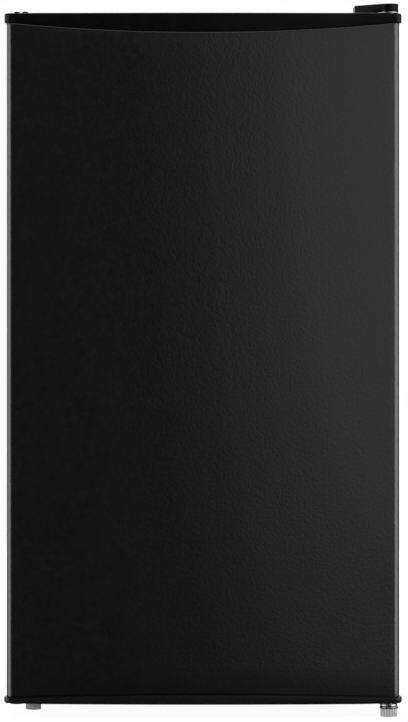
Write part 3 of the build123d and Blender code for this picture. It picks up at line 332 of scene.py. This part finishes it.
def bore(obj, holes):
    """Cuts upright round holes (x, y, z0, z1, r) and keeps the result as the piece's own mesh."""
    bm = bmesh.new()
    for x, y, z0, z1, r in holes:
        made = bmesh.ops.create_cone(bm, cap_ends=True, segments=40, radius1=r * MM, radius2=r * MM, depth=(z1 - z0) * MM)
        bmesh.ops.translate(bm, verts=made["verts"], vec=(x * MM, y * MM, (z0 + z1) / 2 * MM))
    mesh = bpy.data.meshes.new("bore")
    bm.to_mesh(mesh)
    bm.free()
    cutter = bpy.data.objects.new("bore", mesh)
    scene.collection.objects.link(cutter)
    mod = obj.modifiers.new("bore", "BOOLEAN")
    mod.operation, mod.solver, mod.object = "DIFFERENCE", "EXACT", cutter
    bpy.context.view_layer.update()
    done = bpy.data.meshes.new_from_object(obj.evaluated_get(bpy.context.evaluated_depsgraph_get()))
    obj.modifiers.remove(mod)
    obj.data = done
    bpy.data.objects.remove(cutter)
    for p in done.polygons:
        p.use_smooth = True
    done.set_sharp_from_angle(angle=math.radians(38))


def top_line(x):
    return arch(min(abs(x), PANEL_HALF), Z_TOP_EAR + 0.1, TOP_ARCH_MID, PANEL_HALF + 1)


def bottom_line(x):
    return arch(min(abs(x), PANEL_HALF), Z_BOT_EAR - 0.1, BOT_ARCH_MID, PANEL_HALF + 1)


hollow = outline(PANEL_HALF - 4.0, 4.0, CORNER - 4.0, Y_SKIN_BACK - 2.7)
cap_plan = outline(236.9, 0.5, 9.0, Y_SKIN_BACK, 234.0)


def lean(x, z, f):
    """Setback of the upper cap's face, which leans out towards its top edge, most steeply at the narrow ends of the band."""
    return (835.0 - z) * 2.7 / (835.0 - top_line(x)) * f


def crest(t):
    """A level of the rounding of the top edge, t from 0 at the face to 1 on top; it is deepest in the middle of the front."""
    a = t * math.pi / 2
    return lambda x, f: ((2.0 + 5.6 * f * max(0.0, 1.0 - (abs(x) / 195.0) ** 2.5)) * (1 - math.cos(a)), 835.0 + 1.7 * math.sin(a))


top_levels = [
    lambda x, f: (5.4 - 3.2 * f, 806.0),
    lambda x, f: (5.4 - 3.2 * f, top_line(x) - 1.2 * f + 0.12 * (1 - f)),
    lambda x, f: (lean(x, top_line(x), f) + 0.9 * (1 - f), top_line(x) + 0.15),
    lambda x, f: (lean(x, top_line(x), f) + 0.25 * (1 - f), top_line(x) + 0.45),
    lambda x, f: (lean(x, top_line(x) + 1, f), top_line(x) + 1.1),
    lambda x, f: (lean(x, 828.0, f), 828.0),
    lambda x, f: (lean(x, 832.0, f), 832.0),
    *(crest(i / 9) for i in range(10)),
    lambda x, f: (8.0, 836.7),
]
bosses = [(HX, HY, 812.0, 833.4, 3.3, 6.5), (-HX, HY, 812.0, 833.4, 3.3, 6.5), (-HX + 9.6, HY, 818.0, 833.4, 2.75, 4.2)]
cap_top = new_piece("door_cap_upper", stacked(cap_plan, top_levels, (hollow, 806.0, 833.5), bosses), M["black_cap_plastic"], "door", ("door_top_cap",), angle=38)
bore(cap_top, [(HX, HY, 825, 845, 3.15), (-HX, HY, 825, 845, 3.1), (-HX + 9.6, HY, 825, 845, 2.6)])

chin_plan = outline(237.44, 0.8, 9.0, Y_SKIN_BACK, 234.0)
chin = lambda z, f: (24.0 - z) * 0.10 * f
GAP = 1.3  # shadow gap under the skin
rim = lambda x, f: bottom_line(x) - GAP * f
belly = lambda x, f: f * (-0.42 + 0.9 * max(0.0, (abs(x) - 185.0) / 45.0) ** 1.5)  # the lower edge hangs lower between the ends
bottom_levels = [
    lambda x, f: (5.8 - 3.1 * f, 45.0),
    lambda x, f: (5.8 - 3.1 * f, rim(x, f) + 0.02),
    lambda x, f: (1.2, rim(x, f)),
    lambda x, f: (0.6, rim(x, f) - 0.08),
    lambda x, f: (0.15, rim(x, f) - 0.4),
    lambda x, f: (0.0, rim(x, f) - 1.0),
    lambda x, f: (chin(20, f), 20.0),
    lambda x, f: (0.2 + chin(18, f), 18.7 + belly(x, f)),
    lambda x, f: (0.8 + chin(17, f), 17.6 + belly(x, f)),
    lambda x, f: (1.9 + chin(17, f), 16.8 + belly(x, f)),
    lambda x, f: (3.4, 16.5 + belly(x, f)),
    lambda x, f: (8.2, 16.5),
]
cups = [(side * HX, HY, 19.8, 40.0, 7.15, 9.0) for side in (-1, 1)]
# the lower cap wears the lighter copy of the cap black, painted floor light
cap_bottom = new_piece("door_cap_lower", stacked(chin_plan, bottom_levels, (hollow, 45.0, 19.7), cups), CAP_PAINTED_FLOOR_LIGHT, "door", ("door_bottom_cap",), angle=38)
bore(cap_bottom, [(side * HX, HY, 10, 30, 7.05) for side in (-1, 1)])


# ---------------------------------------------------------------- folded door seal
def ring_sweep(profile, half_x, z0, z1):
    """Sweeps a closed profile of (outward, y) round an upright rectangle with mitred corners."""
    bm = bmesh.new()
    rings = []
    for sx, top in ((-1, 0), (1, 0), (1, 1), (-1, 1)):
        ring = []
        for u, y in profile:
            z = z1 + u if top else z0 - u
            ring.append(bm.verts.new((sx * (half_x + u) * MM, y * MM, z * MM)))
        rings.append(ring)
    m = len(profile)
    for i in range(4):
        a, b = rings[i], rings[(i + 1) % 4]
        for j in range(m):
            k = (j + 1) % m
            bm.faces.new((a[j], b[j], b[k], a[k]))
    return bm


seal_profile = [
    (9.0, -178.0), (9.0, -177.2), (8.4, -176.6), (5.4, -176.3), (4.4, -175.9), (3.6, -175.2), (4.0, -174.4), (5.2, -173.7),
    (6.4, -173.2), (6.9, -172.5), (6.9, -171.2), (6.5, -170.6), (5.9, -170.35), (0.0, -170.3), (-5.9, -170.35), (-6.5, -170.6),
    (-6.9, -171.2), (-6.9, -172.5), (-6.4, -173.2), (-5.0, -173.7), (-3.8, -174.4), (-3.6, -175.0), (-4.6, -175.6), (-6.6, -175.9),
    (-8.2, -176.2), (-8.8, -176.8), (-9.0, -177.4), (-9.0, -178.0),
]
new_piece("door_seal", ring_sweep(seal_profile, 209.0, 42.0, 811.0), M["seal_rubber"], "door", ("door_gasket",), angle=30)

# ---------------------------------------------------------------- turned-in edge of the door skin, round the liner's rim
hem_profile = [
    (2.6, -180.6), (2.9, -180.2), (2.9, -177.9), (2.5, -177.45), (1.9, -177.3), (-6.6, -177.3), (-7.2, -177.45), (-7.4, -177.8),
    (-7.2, -177.98), (1.4, -177.98), (1.8, -178.2), (1.8, -180.6),
]
new_piece("door_hem", ring_sweep(hem_profile, 230.4, 21.2, 832.0), M["black_steel"], "door", angle=35)

# ---------------------------------------------------------------- raised channels inside the ice box
EV_SIDE, EV_FLOOR, EV_BEND = 168.2, 661.8, 7.2


def ice_box_wall(t):
    """Point and inward normal (x, z) on the ice box's inner wall, t millimetres along it from the middle of the floor."""
    side, t = (1 if t >= 0 else -1), abs(t)
    flat = EV_SIDE - EV_BEND
    if t <= flat:
        return side * t, EV_FLOOR, 0.0, 1.0
    if t <= flat + EV_BEND * math.pi / 2:
        a = (t - flat) / EV_BEND
        return side * (flat + EV_BEND * math.sin(a)), EV_FLOOR + EV_BEND * (1 - math.cos(a)), -side * math.sin(a), math.cos(a)
    return side * EV_SIDE, EV_FLOOR + EV_BEND + t - flat - EV_BEND * math.pi / 2, -side, 0.0


def channels():
    """One serpentine that runs over the floor and part of the way up both sides, turning there."""
    rows, pitch, y0, end = 7, 22.0, -34.0, 214.0
    path = []
    for k in range(rows):
        y, way = y0 + pitch * k, 1 if k % 2 == 0 else -1
        path += [(way * (-end + 2 * end * i / 150), y) for i in range(151)]
        if k < rows - 1:
            path += [(way * (end + pitch / 2 * math.sin(math.pi * i / 16)), y + pitch / 2 * (1 - math.cos(math.pi * i / 16))) for i in range(1, 16)]
    bm = bmesh.new()
    rings = []
    for i, (t, y) in enumerate(path):
        (ta, ya), (tb, yb) = path[max(0, i - 1)], path[min(len(path) - 1, i + 1)]
        d = Vector((tb - ta, yb - ya)).normalized()
        taper = min(1.0, 0.25 + 0.25 * min(i, len(path) - 1 - i))
        ring = []
        for j in range(11):
            a = math.pi * j / 10
            u, h = 4.2 * taper * math.cos(a), 1.5 * taper * math.sin(a) - 0.15
            x, z, nx, nz = ice_box_wall(t - u * d.y)
            ring.append(bm.verts.new(((x + nx * h) * MM, (y + u * d.x) * MM, (z + nz * h) * MM)))
        rings.append(ring)
    m = len(rings[0])
    for a, b in zip(rings, rings[1:]):
        for j in range(m):
            k = (j + 1) % m
            bm.faces.new((a[j], b[j], b[k], a[k]))
    bm.faces.new(rings[0])
    bm.faces.new(list(reversed(rings[-1])))
    return bm


new_piece("ice_box_channels", channels(), M["evaporator_aluminium"], "cabinet", angle=40)

# ---------------------------------------------------------------- thermostat scale and the knob's pointer
DIAL_Y, DIAL_Z = -36.0, 588.0


def raised_bar(bm, angle, r0, r1, w0, w1, x_foot, x_top, rim):
    """A radial bar with a chamfered top on a face that looks towards -X."""
    c, s = math.cos(angle), math.sin(angle)
    loops = []
    for x, cut in ((x_foot, 0.0), (x_top + rim, 0.0), (x_top, rim)):
        loop = []
        for end in range(2):
            for i in range(7):
                a = -math.pi / 2 + math.pi * i / 6
                half = (w1 if end == 0 else w0) / 2 - cut
                mid = r1 - w1 / 2 if end == 0 else r0 + w0 / 2
                rr = mid + half * math.cos(a) * (1 if end == 0 else -1)
                q = half * math.sin(a) * (1 if end == 0 else -1)
                loop.append(bm.verts.new((x * MM, (DIAL_Y + rr * c - q * s) * MM, (DIAL_Z + rr * s + q * c) * MM)))
        loops.append(loop)
    n = len(loops[0])
    for a, b in zip(loops, loops[1:]):
        for i in range(n):
            k = (i + 1) % n
            bm.faces.new((a[i], a[k], b[k], b[i]))
    bm.faces.new(list(reversed(loops[0])))
    bm.faces.new(loops[-1])


TURN, FIRST = math.radians(290), math.radians(-90 + 35)
bm = bmesh.new()
for k in range(8):
    raised_bar(bm, FIRST + TURN * k / 7, 21.6, 23.2 + 0.34 * k, 0.9 + 0.05 * k, 1.1 + 0.08 * k, 168.3, 167.6, 0.12)
new_piece("dial_scale", bm, M["pan_plastic"], "cabinet", angle=30)
bm = bmesh.new()
raised_bar(bm, FIRST, 4.5, 13.0, 1.6, 2.2, 152.3, 151.5, 0.2)
new_piece("knob_pointer", bm, M["pan_plastic"], "control_knob", angle=30)

# ---------------------------------------------------------------- stage and light
bm = bmesh.new()
bmesh.ops.create_grid(bm, x_segments=1, y_segments=1, size=30.0)
mesh = bpy.data.meshes.new("floor")
bm.to_mesh(mesh)
bm.free()
floor = bpy.data.objects.new("floor", mesh)
floor.location = (0, 0, -0.0002)
scene.collection.objects.link(floor)
floor_mat, nt, bsdf, tc = nodes_of("pale_floor")
nt.links.new(ramp(nt, noise(nt, tc, 3.0).outputs["Fac"], (0.17, 0.17, 0.17), (0.20, 0.20, 0.20)).outputs["Color"], bsdf.inputs["Base Color"])
bsdf.inputs["Roughness"].default_value = 0.8
bsdf.inputs["Specular IOR Level"].default_value = 0.0
bsdf.inputs["Emission Color"].default_value = (1, 1, 1, 1)
# the floor's glow is dimmer near the object than far off: a painted shade round its base
reach = nt.nodes.new("ShaderNodeVectorMath")
reach.operation = "LENGTH"
nt.links.new(tc.outputs["Object"], reach.inputs[0])
nt.links.new(spread(nt, reach.outputs["Value"], 0.94, 1.0, 0.5, 2.6).outputs["Result"], bsdf.inputs["Emission Strength"])
mesh.materials.append(floor_mat)
floor.visible_glossy = False
floor.visible_shadow = False

# white surround for the eye, dim one for the light that falls on the object
world = bpy.data.worlds.new("studio")
scene.world = world
world.use_nodes = True
wn = world.node_tree
bg = next(n for n in wn.nodes if n.type == "BACKGROUND")
out = next(n for n in wn.nodes if n.type == "OUTPUT_WORLD")
bg.inputs["Color"].default_value = (1, 1, 1, 1)
bg.inputs["Strength"].default_value = 0.005
seen = wn.nodes.new("ShaderNodeBackground")
seen.inputs["Color"].default_value = (1, 1, 1, 1)
seen.inputs["Strength"].default_value = 1.0
path = wn.nodes.new("ShaderNodeLightPath")
mix = wn.nodes.new("ShaderNodeMixShader")
wn.links.new(path.outputs["Is Camera Ray"], mix.inputs["Fac"])
wn.links.new(bg.outputs["Background"], mix.inputs[1])
wn.links.new(seen.outputs["Background"], mix.inputs[2])
wn.links.new(mix.outputs["Shader"], out.inputs["Surface"])


def softbox(name, azimuth, elevation, distance, width, height, radiance):
    """A rectangular soft light aimed at the door. Azimuth 0 is straight in front, positive to the hinge side."""
    a, e = math.radians(azimuth), math.radians(elevation)
    aim = Vector((0.0, -0.215, 0.4235))
    loc = aim + distance * Vector((math.sin(a) * math.cos(e), -math.cos(a) * math.cos(e), math.sin(e)))
    data = bpy.data.lights.new(name, "AREA")
    data.shape = "RECTANGLE"
    data.size, data.size_y = width, height
    data.energy = radiance * math.pi * width * height
    obj = bpy.data.objects.new(name, data)
    obj.location = loc
    obj.rotation_euler = (aim - loc).to_track_quat("-Z", "Y").to_euler()
    obj.visible_camera = False
    scene.collection.objects.link(obj)
    return obj


softbox("side_left", -76, -6, 2.4, 2.5, 3.1, 2.05)
softbox("side_right", 66.7, 6, 2.4, 2.61, 3.0, 2.43)
softbox("front_key", 16, 11.8, 2.8, 0.97, 2.06, 0.49)
softbox("front_low", 16, -16, 2.8, 1.1, 0.9, 0.07)
softbox("top_front", -8, 54, 3.0, 2.2, 1.3, 0.8)
softbox("top", 0, 80, 2.6, 2.2, 1.6, 1.0)
softbox("rear", 180, 46, 2.8, 2.6, 1.6, 2.6)
softbox("rear_fill", 180, 8, 3.0, 2.0, 1.8, 1.3)
softbox("rear_left", -120, 14, 3.0, 1.2, 2.4, 1.2)
softbox("rear_right", 138, 14, 3.0, 1.3, 2.2, 0.7)
